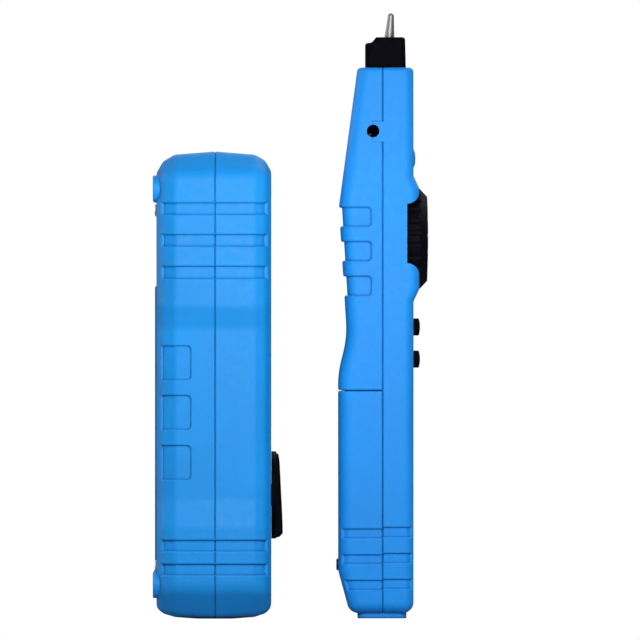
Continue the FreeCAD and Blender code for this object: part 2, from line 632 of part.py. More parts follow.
def rx_skin(side):
    body = rx_half(side, 0, SEAM_V)
    floor = rx_half(side, RX_GROOVE_D, SEAM_V)
    x0, x1 = (0, 30) if side > 0 else (-30, 0)
    bands = RX_GROOVES if side > 0 else RX_DOOR_GROOVES
    for z0, z1 in bands:
        for y0, y1 in ((RX_GROOVE_END, 60), (-60, -RX_GROOVE_END)):
            body = body.cut(box(x0, x1, y0, y1, z0, z1).cut(floor))
    outer = rx_half(side, 0, SEAM_V)
    for band in bands:
        body = round_edges(body, 0.50, mouth_edges(body, outer, [band]), 0.15)
    if side < 0:
        floor = rx_body(RX_GRIP_D)
        for z0, z1 in RX_GRIPS:
            tool = box(-60, RX_GRIP_X, -60, 60, z0, z1)
            near = [e for e in tool.Edges if abs(e.CenterOfMass.x - RX_GRIP_X) < 1e-6 and e.BoundBox.YLength > 1]
            tool = tool.makeFillet(1.1, near)
            body = body.cut(tool.cut(floor))
        for band in RX_GRIPS:
            body = round_edges(body, 0.70, mouth_edges(body, outer, [band]))
    return body


def rx_slot():
    """Cut through the knob's guard, open to both sides, with rounded shoulders."""
    z0, z1 = RX_SLOT
    x, r = RX_SLOT_X, RX_SLOT_R
    q = r * math.sqrt(0.5)

    def p(a, b):
        return V(a, -40, b)
    edges = [
        Part.LineSegment(p(x, z0), p(x, z1)).toShape(),
        Part.Arc(p(x, z1), p(x + q, z1 + r - q), p(x + r, z1 + r)).toShape(),
        Part.LineSegment(p(x + r, z1 + r), p(40, z1 + r)).toShape(),
        Part.LineSegment(p(40, z1 + r), p(40, z0 - r)).toShape(),
        Part.LineSegment(p(40, z0 - r), p(x + r, z0 - r)).toShape(),
        Part.Arc(p(x + r, z0 - r), p(x + q, z0 - r + q), p(x, z0)).toShape(),
    ]
    return prism(Part.Wire(edges), (0, 80, 0))


# receiver inner places
R_PCB = (1.0, 2.6)
R_BAT = (-13.9, 24.0)
R_SPEAKER_Z = 48.0
R_LED_Z = 165.6
R_PAD = (-9.1, 8.6, 18.8)
R_DOOR_SCREW_Z = 19.3
NOSE_Y = 9.0
TIP_X = 2.45


def rx_pad():
    x0, x1, hy = R_PAD
    s = plate_z(rect(x0, x1, -hy, hy, 3.0), 0, RX_BOTTOM + 0.6)
    return round_edges(s, 0.45, edges_at(s, "z", 0.0))


def nose_solid():
    """Black nose: flat top, lower step at the rear for the torch, rounded all round."""
    prof = [(-6.3, 195.0, 0), (8.46, 195.0, 0), (8.1, 209.3, 0), (-2.3, 209.3, 0.35),
            (-3.9, 207.35, 1.6), (-6.3, 207.15, 0)]
    s = plate_y(prof, NOSE_Y, -NOSE_Y).common(plate_z(rect(-6.3, 8.46, -NOSE_Y, NOSE_Y, 2.2), 194, 212))
    s = s.removeSplitter().Solids[0]
    rim = [e for e in edges_at(s, "z", 209.3) if not (e.BoundBox.XMax < 0 and e.BoundBox.YLength > 5)]
    s = round_edges(s, 1.05, rim)
    # the rear corners are cut back towards the step, wide above and running out below
    for k in (-1, 1):
        a, b, c = V(-2.6, k * (NOSE_Y + 0.01), 207.6), V(-6.2, k * (NOSE_Y + 0.01), 199.2), V(-6.32, k * (NOSE_Y - 2.6), 207.6)
        out = V(-20, k * 30, 207.6)
        n = (b - a).cross(c - a)
        if n.dot(out - a) < 0:
            n = n * -1
        n.normalize()
        slab = Part.makeBox(60, 60, 30, V(-30, -30, 0))
        slab.Placement = FreeCAD.Placement(a, FreeCAD.Rotation(V(0, 0, 1), n)).multiply(slab.Placement)
        t = s.cut(slab)
        if len(t.Solids) == 1 and t.isValid():
            s = t.Solids[0]
        else:
            print("  nose facet left out")
    return s


def receiver():
    whole = rx_body(0)
    hollow = rx_body(RX_WALL)
    jx, jz = RX_JACK
    slot = rx_slot()
    zc = RX_KNOB_Z
    tab_box = (jx - 0.04, 0, -40, 0, 171.5, 178.9)

    nose = nose_solid()
    nose_hole = plate_z(rect(-6.42, 8.60, -NOSE_Y - 0.12, NOSE_Y + 0.12, 2.3), 190, 205)

    # ---------------- front shell
    shell = rx_skin(1)
    flat, lip, rise = RX_COLLAR
    guard = plate_y([(5.0, zc - flat, 0), (RX_FRONT, zc - flat, 0), (RX_FRONT + rise, zc - lip, 2.5),
                     (RX_FRONT + rise, zc + lip, 2.5), (RX_FRONT, zc + flat, 0), (5.0, zc + flat, 0)], -40, 40)
    guard = guard.common(plate_x(rx_face(), -40, 40)).removeSplitter().Solids[0]
    guard = round_edges(guard, RX_RFR, [e for e in guard.Edges if e.BoundBox.XMin > RX_FRONT - 0.01
                                        and abs(e.CenterOfMass.y) > 8])
    shell = shell.fuse(guard)
    dome_r = (3.5 ** 2 + 0.85 ** 2) / (2 * 0.85)
    dome = Part.makeSphere(dome_r, V(RX_FRONT + 0.85 - dome_r, 0, R_LED_Z)).common(box(RX_FRONT - 0.5, 20, -9, 9, R_LED_Z - 9, R_LED_Z + 9))
    shell = shell.fuse(dome)
    pad = rx_pad()
    shell = shell.fuse(pad.common(box(0, 50, -50, 50, -1, 10)))
    shell = shell.cut(hollow)
    deck = box(6.0, 9.6, -40, 40, 113.6, 159.6).common(rx_body(1.0))
    shell = shell.fuse(deck)
    tab = whole.common(box(*tab_box)).cut(hollow)
    tab = tab.fuse(box(-0.02, 1.2, -40, 0, 171.5, 178.9).common(whole).cut(hollow))
    shell = shell.fuse(tab)
    for y, z in RX_SCREWS:
        for s in (-1, 1):
            shell = shell.fuse(cyl("x", 3.0, (0.02, s * y, z), 9.5))
    shell = shell.fuse(cyl("x", 3.0, (-9.8, 0, R_DOOR_SCREW_Z), 19.4))
    shell = shell.cut(slot)
    shell = shell.cut(cyl("x", RX_KNOB_R + 0.40, (8.0, 0, zc), 30))
    shell = shell.cut(cyl("x", 4.4, (0, 0, zc), 30))
    shell = shell.cut(nose_hole)
    shell = shell.cut(cyl("y", 2.30, (jx, -40, jz), 30))
    shell = shell.cut(cyl("x", 1.6, (2, 0, R_LED_Z), 30))
    for z in RX_BUTTONS:
        shell = shell.cut(cyl("x", RX_BUTTON_R + 0.22, (5, 0, z), 30))
    holes = [(0, 0)] + [(3.4 * math.cos(math.radians(a)), 3.4 * math.sin(math.radians(a))) for a in range(0, 360, 60)] \
        + [(6.6 * math.cos(math.radians(a)), 6.6 * math.sin(math.radians(a))) for a in range(15, 375, 30)]
    for dy, dz in holes:
        shell = shell.cut(cyl("x", 0.85, (8, dy, R_SPEAKER_Z + dz), 10))
    for y, z in RX_SCREWS:
        for s in (-1, 1):
            shell = shell.cut(cyl("x", 1.28, (-1, s * y, z), 9))
    shell = shell.cut(cyl("x", 1.5, (-12, 0, R_DOOR_SCREW_Z), 16))
    keep("receiver_front_shell", shell.removeSplitter(), RX_X)

    # ---------------- rear half, then split into rear shell and battery door
    rear = rx_skin(-1)
    zj = RX_DOOR_Z
    up = whole.common(box(-BIG, BIG, -BIG, BIG, zj, 2 * BIG)).Solids[0]
    up = round_edges(up, 0.8, edges_at(up, "z", zj))
    down = whole.common(box(-BIG, BIG, -BIG, BIG, -BIG, zj)).Solids[0]
    down = round_edges(down, 0.8, edges_at(down, "z", zj))
    shell = rear.common(box(-BIG, 0, -BIG, BIG, zj + 0.20, 2 * BIG))
    shell = shell.cut(box(-BIG, 0, -BIG, BIG, zj - 1, zj + 0.8).cut(up))
    shell = shell.cut(hollow)
    bulk = box(-40, -0.3, -40, 40, zj + 0.20, zj + 1.9).common(rx_body(1.1))
    shell = shell.fuse(bulk)
    # a step below the bulkhead reaches down inside the door and closes the joint
    shell = shell.fuse(box(-40, -0.05, -40, 40, zj - 1.4, zj + 0.6).common(rx_body(RX_WALL + 0.25)))
    shell = shell.fuse(box(-40, -0.05, -40, 40, zj - 0.02, zj + 0.6).common(rx_body(1.1)))
    for y, z in RX_SCREWS:
        for s in (-1, 1):
            post = cyl("x", 3.7, (-30, s * y, z), 30).common(rx_body(0.8))
            shell = shell.fuse(post)
    grown = (tab_box[0] - 0.14, 1, tab_box[2], tab_box[3] + 0.14, tab_box[4] - 0.14, tab_box[5] + 0.14)
    shell = shell.cut(box(*grown))
    shell = shell.cut(nose_hole)
    shell = shell.cut(cyl("y", 2.30, (jx, -40, jz), 30))
    for y, z in RX_SCREWS:
        for s in (-1, 1):
            shell = shell.cut(cyl("x", 2.5, (-40, s * y, z), 31.6))
            shell = shell.cut(cyl("x", 1.4, (-40, s * y, z), 50))
    keep("receiver_rear_shell", shell.removeSplitter(), RX_X)

    door = rear.common(box(-BIG, -0.05, -BIG, BIG, -BIG, zj - 0.20))
    door = door.cut(box(-BIG, 0, -BIG, BIG, zj - 0.8, zj + 1).cut(down))
    door = door.fuse(pad.common(box(-50, -0.05, -50, 50, -1, 10)))
    door = door.cut(hollow)
    door = door.fuse(cyl("x", 3.0, (-30, 0, R_DOOR_SCREW_Z), 20.0).common(rx_body(0.8)))
    door = cut(door, cyl("x", 1.45, (-30, 0, R_DOOR_SCREW_Z), 40),
               cyl("x", 2.55, (-30, 0, R_DOOR_SCREW_Z), 30 - 15.5))
    keep("receiver_battery_door", door.removeSplitter(), RX_X)
    keep("receiver_battery_door_screw", pan_screw(-16.7, 0, R_DOOR_SCREW_Z, 2.2, 1.18, 1.2, 11.5), RX_X)

    screws = []
    for y, z in RX_SCREWS:
        for s in (-1, 1):
            screws.append(pan_screw(-9.9, s * y, z, 2.3, 1.4, 1.2, 15.0).Solids[0])
    keep("receiver_case_screws", Part.makeCompound(screws), RX_X)

    # ---------------- nose, torch lens, pick-up and tip
    flange = plate_z(rect(-6.7, 8.7, -NOSE_Y - 1.1, NOSE_Y + 1.1, 2.4), 192.8, 196.2)
    nose = nose.fuse(flange).removeSplitter()
    nose = cut(nose, cyl("z", 3.9, (TIP_X, 0, 180), 23.6), cyl("z", 1.62, (TIP_X, 0, 200), 20),
               cyl("z", 1.30, (-4.75, 0, 200.5), 20))
    keep("receiver_nose", nose, RX_X)
    lens = cyl("z", 1.22, (-4.75, 0, 200.6), 6.3)
    lens = round_edges(lens, 0.7, edges_at(lens, "z", 206.9))
    keep("receiver_torch_lens", lens, RX_X)
    rings = [(1.80, 209.4)] + [(0.18 + 0.9 * math.cos(math.radians(t)), 217.1 + 0.9 * math.sin(math.radians(t)))
                               for t in (0, 20, 40, 60, 78, 90)]
    lean = (3.08 - TIP_X) / (218.0 - 209.2)
    tip = Part.makeLoft([Part.Wire([Part.makeCircle(r, V(TIP_X + lean * (z - 209.2), 0, z))]) for r, z in rings],
                        True, True).Solids[0]
    tip = tip.fuse(cyl("z", 1.55, (TIP_X, 0, 202.2), 7.2)).removeSplitter()
    keep("receiver_probe_tip", tip, RX_X)
    rod = cyl("z", 2.0, (TIP_X, 0, 184.5), 17.6)
    keep("receiver_ferrite_rod", rod, RX_X)
    coil = cyl("z", 3.5, (TIP_X, 0, 186.5), 13.5).cut(cyl("z", 2.03, (TIP_X, 0, 180), 30))
    keep("receiver_pickup_coil", round_edges(coil, 0.5, edges_at(coil, "z", 186.5) + edges_at(coil, "z", 200.0)), RX_X)

    led = cyl("x", 1.45, (R_PCB[1] + 0.02, 0, R_LED_Z), RX_FRONT + 0.70 - R_PCB[1])
    led = round_edges(led, 0.8, edges_at(led, "x", RX_FRONT + 0.72))
    led = led.fuse(cyl("x", 1.9, (R_PCB[1] + 0.02, 0, R_LED_Z), 1.0)).removeSplitter()
    keep("receiver_signal_led", led, RX_X)

    # ---------------- circuit board and what sits on it
    board = plate_x([(-17.0, 78.0, 1.0), (17.0, 78.0, 1.0), (17.0, 152.0, 4.0), (14.0, 182.5, 1.0), (-14.0, 182.5, 1.0), (-17.0, 152.0, 4.0)], *R_PCB)
    for y, z in RX_SCREWS:
        for s in (-1, 1):
            board = board.cut(cyl("x", 3.3, (-5, s * y, z), 20))
    keep("receiver_circuit_board", board, RX_X)
    chips = [
        box(R_PCB[0] - 1.8, R_PCB[0] - 0.02, -4.5, 4.5, 120, 132),
        box(R_PCB[0] - 1.6, R_PCB[0] - 0.02, -10, -5, 103, 109),
        box(R_PCB[0] - 1.6, R_PCB[0] - 0.02, 3, 9, 101, 108),
        cyl("x", 2.5, (R_PCB[0] - 6.5, 9.5, 118.0), 6.48),
        cyl("x", 2.0, (R_PCB[0] - 5.5, -10.5, 122.0), 5.48),
    ]
    keep("receiver_board_components", Part.makeCompound(chips), RX_X)
    y_out = -18.6
    jack = box(jx - 3.1, R_PCB[0] - 0.02, -15.9, -5.0, jz - 3.1, jz + 3.1)
    jack = jack.fuse(cyl("y", 2.2, (jx, y_out, jz), 4.0))
    jack = jack.cut(cyl("y", 1.8, (jx, y_out - 1, jz), 12.5))
    keep("receiver_earphone_jack", jack.removeSplitter(), RX_X)
    pot = cyl("x", 8.0, (R_PCB[1] + 0.02, 0, zc), 2.9).cut(cyl("x", 3.3, (0, 0, zc), 20))
    keep("receiver_gain_pot", round_edges(pot, 0.4, edges_at(pot, "x", R_PCB[1] + 2.92)), RX_X)
    taps = []
    for z in RX_BUTTONS:
        s = box(R_PCB[1] + 0.02, R_PCB[1] + 3.4, -3.0, 3.0, z - 3.0, z + 3.0)
        s = bevel_edges(s, 0.4, [e for e in s.Edges if e.BoundBox.XLength > 2])
        taps.append(s.fuse(cyl("x", 1.7, (R_PCB[1] + 3.2, 0, z), 7.0 - R_PCB[1] - 3.2)).removeSplitter().Solids[0])
    keep("receiver_button_switches", Part.makeCompound(taps), RX_X)
    spk = cyl("x", 10.0, (4.9, 0, R_SPEAKER_Z), 4.0)
    spk = round_edges(spk, 0.6, edges_at(spk, "x", 8.9))
    spk = spk.cut(cone("x", 3.0, 8.4, (7.7, 0, R_SPEAKER_Z), 1.3))
    keep("receiver_speaker", spk, RX_X)
    tray = plate_x(rect(-18.0, 18.0, 23.2, 76.6, 2.0), 3.66, 4.7)
    for s in (-1, 1):
        tray = tray.fuse(box(-9.5, 3.8, *(sorted((s * 13.7, s * 14.9))), 30.0, 68.0))
    keep("receiver_battery_tray", tray.removeSplitter(), RX_X)
    nine_volt("receiver", R_BAT[0], R_BAT[1], 0.0, RX_X)

    # ---------------- knob with its shaft, two push buttons
    knob = cyl("x", RX_KNOB_R, (8.3, 0, zc), 5.1).fuse(cone("x", RX_KNOB_R, 15.15, (13.4, 0, zc), 2.7)).removeSplitter()
    crown_h, crown_r = 0.35, 15.15
    sr = (crown_r ** 2 + crown_h ** 2) / (2 * crown_h)
    crown = Part.makeSphere(sr, V(16.1 + crown_h - sr, 0, zc)).common(cyl("x", crown_r, (15.6, 0, zc), 3.0))
    knob = knob.fuse(crown).removeSplitter()
    n = 26
    for i in range(n):
        a = 2 * math.pi * (i + 0.5) / n
        rr = RX_KNOB_R + 0.95
        knob = knob.cut(cyl("x", 1.55, (0, rr * math.cos(a), zc + rr * math.sin(a)), 30))
    knob = knob.fuse(cyl("x", 4.0, (6.4, 0, zc), 3.0)).removeSplitter()
    knob = knob.cut(cyl("x", 3.06, (0, 0, zc), 13.02).cut(box(8.5, 20, -5, 5, zc + 2.01, zc + 9)))
    keep("receiver_gain_knob", knob, RX_X)
    shaft = cyl("x", 3.05, (R_PCB[1] + 0.12, 0, zc), 13.0 - R_PCB[1] - 0.12)
    shaft = shaft.cut(box(8.5, 20, -5, 5, zc + 2.0, zc + 9))
    keep("receiver_pot_shaft", shaft, RX_X)
    for tag, z in zip(("upper", "lower"), RX_BUTTONS):
        top = RX_FRONT + RX_BUTTON_OUT
        sag = 0.45
        sr = (RX_BUTTON_R ** 2 + sag ** 2) / (2 * sag)
        b = cyl("x", RX_BUTTON_R, (7.9, 0, z), 10).common(Part.makeSphere(sr, V(top - sr, 0, z)))
        b = b.Solids[0]
        b = round_edges(b, 0.45, edges_at(b, "x", top - sag, 1e-3))
        b = b.fuse(cyl("x", 4.2, (7.9, 0, z), 1.0)).removeSplitter()
        keep(f"receiver_{tag}_button", b, RX_X)


transmitter()
receiver()
for node_name, node_shape in nodes.items():
    node_shape.exportStep(f"parts/{node_name}.step")
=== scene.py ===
"""Looks of the cable tracer set: moulded blue cases, black controls, plated tip, soft studio light."""
import math

import bmesh
import bpy
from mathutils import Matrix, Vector
from mathutils.bvhtree import BVHTree


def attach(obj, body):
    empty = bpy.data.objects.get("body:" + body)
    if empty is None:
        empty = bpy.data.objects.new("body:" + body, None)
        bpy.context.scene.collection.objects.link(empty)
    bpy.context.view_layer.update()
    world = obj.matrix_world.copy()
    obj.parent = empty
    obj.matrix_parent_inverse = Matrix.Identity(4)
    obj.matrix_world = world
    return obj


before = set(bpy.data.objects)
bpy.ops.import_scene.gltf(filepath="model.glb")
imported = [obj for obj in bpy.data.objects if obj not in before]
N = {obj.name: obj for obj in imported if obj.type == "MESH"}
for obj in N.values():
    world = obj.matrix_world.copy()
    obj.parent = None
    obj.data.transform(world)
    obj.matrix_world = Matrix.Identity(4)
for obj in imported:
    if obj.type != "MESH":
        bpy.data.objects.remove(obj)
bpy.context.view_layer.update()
scene = bpy.context.scene
MM = 0.001


# ------------------------------------------------------------------ camera
cam_data = bpy.data.cameras.new("camera")
cam_data.sensor_width = 36.0
cam_data.lens = 1500.0
cam = bpy.data.objects.new("camera", cam_data)
scene.collection.objects.link(cam)
VIEW_W = 230.4 * MM
REF_Y = -15.0 * MM
dist = VIEW_W / 2 / (18.0 / cam_data.lens)
cam.location = (10.55 * MM, REF_Y - dist, 107.4 * MM)
cam.rotation_euler = (math.radians(90), 0, 0)
cam_data.clip_end = 100.0
scene.camera = cam

# ------------------------------------------------------------------ light and stage
scene.view_settings.view_transform = "Standard"
scene.view_settings.look = "None"
scene.view_settings.exposure = 0.0
scene.view_settings.gamma = 1.0

world = bpy.data.worlds.new("world")
scene.world = world
world.use_nodes = True
wt = world.node_tree
wt.nodes.clear()
w_out = wt.nodes.new("ShaderNodeOutputWorld")
w_mix = wt.nodes.new("ShaderNodeMixShader")
w_path = wt.nodes.new("ShaderNodeLightPath")
w_dim = wt.nodes.new("ShaderNodeBackground")
w_dim.inputs["Color"].default_value = (0.93, 0.96, 1.0, 1)
w_dim.inputs["Strength"].default_value = 0.075
w_white = wt.nodes.new("ShaderNodeBackground")
w_white.inputs["Color"].default_value = (1, 1, 1, 1)
w_white.inputs["Strength"].default_value = 1.0
wt.links.new(w_path.outputs["Is Camera Ray"], w_mix.inputs["Fac"])
wt.links.new(w_dim.outputs["Background"], w_mix.inputs[1])
wt.links.new(w_white.outputs["Background"], w_mix.inputs[2])
wt.links.new(w_mix.outputs["Shader"], w_out.inputs["Surface"])


def area(name, loc, target, size, power, size_y=None, color=(1, 1, 1)):
    d = bpy.data.lights.new(name, "AREA")
    d.energy = power
    d.color = color
    d.size = size
    if size_y:
        d.shape = "RECTANGLE"
        d.size_y = size_y
    o = bpy.data.objects.new(name, d)
    scene.collection.objects.link(o)
    o.location = loc
    o.rotation_euler = (Vector(target) - Vector(loc)).to_track_quat("-Z", "Y").to_euler()
    return o


area("key", (0.022, -0.30, 0.190), (0.010, 0.0, 0.140), 0.24, 1.01, 0.16)
area("fill_left", (-0.66, 0.20, 0.30), (0.0, 0.0, 0.10), 0.4, 1.80, 0.5)
area("fill_right", (0.45, 0.30, 0.55), (0.0, 0.0, 0.10), 0.4, 2.00, 0.5)
area("back", (0.0, 0.75, 0.70), (0.0, 0.05, 0.05), 0.9, 4.0, 0.6)

bm = bmesh.new()
R = 0.30
seg = 96
ring = [bm.verts.new((R * math.cos(2 * math.pi * i / seg), R * math.sin(2 * math.pi * i / seg), 0)) for i in range(seg)]
bm.faces.new(ring)
me = bpy.data.meshes.new("floor")
bm.to_mesh(me)
bm.free()
floor = bpy.data.objects.new("floor", me)
scene.collection.objects.link(floor)


# ------------------------------------------------------------------ materials
class Mat:
    """A node material with a Principled shader and small helpers."""

    def __init__(self, name, color, rough, metallic=0.0, specular=0.5):
        self.m = bpy.data.materials.new(name)
        self.m.use_nodes = True
        self.t = self.m.node_tree
        self.t.nodes.clear()
        self.out = self.n("ShaderNodeOutputMaterial")
        self.p = self.n("ShaderNodeBsdfPrincipled")
        self.t.links.new(self.p.outputs["BSDF"], self.out.inputs["Surface"])
        self.p.inputs["Base Color"].default_value = (*color, 1)
        self.p.inputs["Roughness"].default_value = rough
        self.p.inputs["Metallic"].default_value = metallic
        self.p.inputs["Specular IOR Level"].default_value = specular
        self.color = color
        self.rough = rough
        self.coord = self.n("ShaderNodeTexCoord")

    def n(self, kind, **kw):
        node = self.t.nodes.new(kind)
        for k, v in kw.items():
            setattr(node, k, v)
        return node

    def link(self, a, b):
        self.t.links.new(a, b)

    def mapped(self, scale):
        mp = self.n("ShaderNodeMapping")
        mp.inputs["Scale"].default_value = scale
        self.link(self.coord.outputs["Object"], mp.inputs["Vector"])
        return mp.outputs["Vector"]

    def noise(self, scale, detail=2.0, rough=0.5, vec=None, distortion=0.0):
        t = self.n("ShaderNodeTexNoise")
        t.inputs["Scale"].default_value = scale
        t.inputs["Detail"].default_value = detail
        t.inputs["Roughness"].default_value = rough
        t.inputs["Distortion"].default_value = distortion
        self.link(vec or self.coord.outputs["Object"], t.inputs["Vector"])
        return t.outputs["Fac"]

    def ramp(self, fac, stops):
        r = self.n("ShaderNodeValToRGB")
        cr = r.color_ramp
        while len(cr.elements) < len(stops):
            cr.elements.new(0.5)
        for e, (pos, col) in zip(cr.elements, stops):
            e.position = pos
            e.color = (*col, 1) if len(col) == 3 else col
        self.link(fac, r.inputs["Fac"])
        return r.outputs["Color"]

    def rng(self, fac, lo, hi, a, b):
        r = self.n("ShaderNodeMapRange")
        r.inputs["From Min"].default_value = lo
        r.inputs["From Max"].default_value = hi
        r.inputs["To Min"].default_value = a
        r.inputs["To Max"].default_value = b
        self.link(fac, r.inputs["Value"])
        return r.outputs["Result"]

    def math(self, op, a, b=None):
        r = self.n("ShaderNodeMath", operation=op)
        for i, v in enumerate((a, b)):
            if v is None:
                continue
            if isinstance(v, (int, float)):
                r.inputs[i].default_value = v
            else:
                self.link(v, r.inputs[i])
        return r.outputs[0]

    def mix(self, fac, a, b):
        r = self.n("ShaderNodeMix", data_type="RGBA")
        for sock, v in ((r.inputs[0], fac), (r.inputs[6], a), (r.inputs[7], b)):
            if isinstance(v, (int, float)):
                sock.default_value = v
            elif isinstance(v, tuple):
                sock.default_value = (*v, 1) if len(v) == 3 else v
            else:
                self.link(v, sock)
        return r.outputs[2]

    def bump(self, height, strength, distance, normal=None):
        b = self.n("ShaderNodeBump")
        b.inputs["Strength"].default_value = strength
        b.inputs["Distance"].default_value = distance
        self.link(height, b.inputs["Height"])
        if normal is not None:
            self.link(normal, b.inputs["Normal"])
        self.link(b.outputs["Normal"], self.p.inputs["Normal"])
        return b.outputs["Normal"]

    def edge(self, radius):
        """0 on flats, towards 1 on sharp edges, from the difference a rounded normal makes."""
        bev = self.n("ShaderNodeBevel", samples=4)
        bev.inputs["Radius"].default_value = radius
        geo = self.n("ShaderNodeNewGeometry")
        dot = self.n("ShaderNodeVectorMath", operation="DOT_PRODUCT")
        self.link(bev.outputs["Normal"], dot.inputs[0])
        self.link(geo.outputs["Normal"], dot.inputs[1])
        return self.rng(dot.outputs["Value"], 0.985, 0.80, 0.0, 1.0)


def moulded(name, color, rough, grain=0.16 * MM, strength=0.16, vary=0.06, worn_edge_highlight=None, worn_edge_highlight_amount=0.35, specular=0.5,
            painted_recess_shade=None):
    """Injection-moulded plastic: spark-eroded grain, slow tone drift, lighter edges that are partly wear and partly
    painted highlight, painted shade darkening the corners of recesses.
    """
    a = Mat(name, color, rough, specular=specular)
    slow = a.noise(38.0, 3.0, 0.55)
    mid = a.noise(420.0, 2.0, 0.5)
    fine = a.noise(1.0 / (grain * 2.2), 1.5, 0.6)
    dark = tuple(c * (1 - vary) for c in color)
    light = tuple(min(1.0, c * (1 + vary)) for c in color)
    tone = a.ramp(slow, [(0.3, dark), (0.7, light)])
    speck = a.rng(fine, 0.35, 0.75, 0.97, 1.03)
    scaled = a.n("ShaderNodeVectorMath", operation="SCALE")
    a.link(tone, scaled.inputs[0])
    a.link(speck, scaled.inputs["Scale"])
    col = scaled.outputs["Vector"]
    # Lighter colour along sharp edges: partly rubbed wear, partly a painted highlight along the edges.
    if worn_edge_highlight:
        e = a.edge(0.28 * MM)
        broken = a.rng(mid, 0.42, 0.62, 0.15, 1.0)
        col = a.mix(a.math("MULTIPLY", a.math("MULTIPLY", e, broken), worn_edge_highlight_amount), col, worn_edge_highlight)
    # Painted shade: ambient occlusion darkens the colour in the corners and walls of recesses, down to the given
    # fraction of the base.
    if painted_recess_shade:
        reach, least = painted_recess_shade
        ao = a.n("ShaderNodeAmbientOcclusion", samples=6)
        ao.inputs["Distance"].default_value = reach
        recess_shade_scale = a.n("ShaderNodeVectorMath", operation="SCALE")
        a.link(col, recess_shade_scale.inputs[0])
        a.link(a.rng(ao.outputs["AO"], 0.30, 0.92, least, 1.0), recess_shade_scale.inputs["Scale"])
        col = recess_shade_scale.outputs["Vector"]
    a.link(col, a.p.inputs["Base Color"])
    r1 = a.rng(mid, 0.3, 0.7, rough - 0.05, rough + 0.05)
    r2 = a.rng(slow, 0.35, 0.65, -0.03, 0.03)
    a.link(a.math("ADD", r1, r2), a.p.inputs["Roughness"])
    a.bump(fine, strength, grain * 0.45)
    return a.m


# One blue plastic in two copies: the transmitter's carries less blue than the receiver's, painted shade that makes it
# render darker under the same lamps.
BLUE_TX_SHADED_COPY = (0.0030, 0.274, 0.765)
BLUE_RX_LIT_COPY = (0.0030, 0.274, 0.840)
mat_blue_tx, mat_blue_rx = [
    moulded(name, blue, 0.62, specular=0.36, worn_edge_highlight=(0.10, 0.42, 0.86), worn_edge_highlight_amount=0.30, painted_recess_shade=(1.1 * MM, 0.25))
    for name, blue in (("moulded_blue_transmitter", BLUE_TX_SHADED_COPY), ("moulded_blue_receiver", BLUE_RX_LIT_COPY))]
mat_black = moulded("moulded_black", (0.0022, 0.0020, 0.0042), 0.66, specular=0.022, worn_edge_highlight=(0.018, 0.018, 0.022), worn_edge_highlight_amount=0.4)
mat_knob = moulded("knob_black", (0.0030, 0.0026, 0.0056), 0.60, specular=0.035, grain=0.12 * MM, worn_edge_highlight=(0.016, 0.016, 0.020), worn_edge_highlight_amount=0.4)
mat_rubber = moulded("button_rubber", (0.0034, 0.0030, 0.0058), 0.70, specular=0.035, grain=0.10 * MM, strength=0.12)
mat_socket = moulded("socket_black", (0.0032, 0.0030, 0.0044), 0.40, specular=0.20, grain=0.10 * MM, worn_edge_highlight=(0.03, 0.03, 0.03), worn_edge_highlight_amount=0.4)
mat_jack = moulded("jack_black", (0.0022, 0.0020, 0.0030), 0.85, specular=0.02, grain=0.10 * MM)
mat_tray = moulded("tray_black", (0.014, 0.014, 0.015), 0.5)
mat_overlay = moulded("overlay_film", (0.020, 0.022, 0.027), 0.48, grain=0.09 * MM, strength=0.10, vary=0.04)


def metal(name, color, rough, ring_axis=None, strength=0.10):
    a = Mat(name, color, rough, metallic=1.0)
    smear = a.noise(260.0, 3.0, 0.6)
    if ring_axis is not None:
        scale = [60.0, 60.0, 60.0]
        scale[ring_axis] = 9000.0
        lines = a.noise(1.0, 2.0, 0.5, a.mapped(tuple(scale)))
    else:
        lines = a.noise(5200.0, 2.0, 0.5)
    a.link(a.ramp(smear, [(0.25, tuple(c * 0.90 for c in color)), (0.75, color)]), a.p.inputs["Base Color"])
    a.link(a.rng(lines, 0.3, 0.7, rough - 0.06, rough + 0.08), a.p.inputs["Roughness"])
    a.bump(lines, strength, 0.02 * MM)
    return a.m


mat_nickel = metal("plated_nickel", (0.38, 0.362, 0.362), 0.50, ring_axis=2, strength=0.03)
mat_stud = metal("plated_stud", (0.70, 0.69, 0.67), 0.26)
mat_zinc = metal("zinc_screw", (0.60, 0.60, 0.58), 0.34)
mat_blackscrew = metal("black_oxide", (0.055, 0.055, 0.058), 0.38)
mat_gold = metal("contact_gold", (0.86, 0.62, 0.24), 0.22)
mat_can = metal("pot_can", (0.62, 0.61, 0.60), 0.30)


def board():
    a = Mat("board_green", (0.010, 0.085, 0.030), 0.32)
    weave = a.n("ShaderNodeTexBrick")
    weave.inputs["Scale"].default_value = 900.0
    a.link(a.mapped((1, 1, 1)), weave.inputs["Vector"])
    tracks = a.n("ShaderNodeTexVoronoi", feature="DISTANCE_TO_EDGE")
    tracks.inputs["Scale"].default_value = 260.0
    a.link(a.coord.outputs["Object"], tracks.inputs["Vector"])
    line = a.rng(tracks.outputs["Distance"], 0.02, 0.05, 1.0, 0.0)
    col = a.mix(line, (0.008, 0.070, 0.026), (0.020, 0.125, 0.045))
    a.link(col, a.p.inputs["Base Color"])
    a.link(a.rng(a.noise(300.0), 0.3, 0.7, 0.26, 0.40), a.p.inputs["Roughness"])
    a.bump(line, 0.25, 0.03 * MM)
    return a.m


def lens(name, color, alpha_rough=0.08):
    a = Mat(name, color, alpha_rough)
    a.p.inputs["Transmission Weight"].default_value = 0.65
    a.p.inputs["IOR"].default_value = 1.49
    cloud = a.noise(900.0, 2.0)
    a.link(a.ramp(cloud, [(0.2, tuple(c * 0.8 for c in color)), (0.8, color)]), a.p.inputs["Base Color"])
    a.link(a.rng(cloud, 0.3, 0.7, alpha_rough, alpha_rough + 0.08), a.p.inputs["Roughness"])
    return a.m


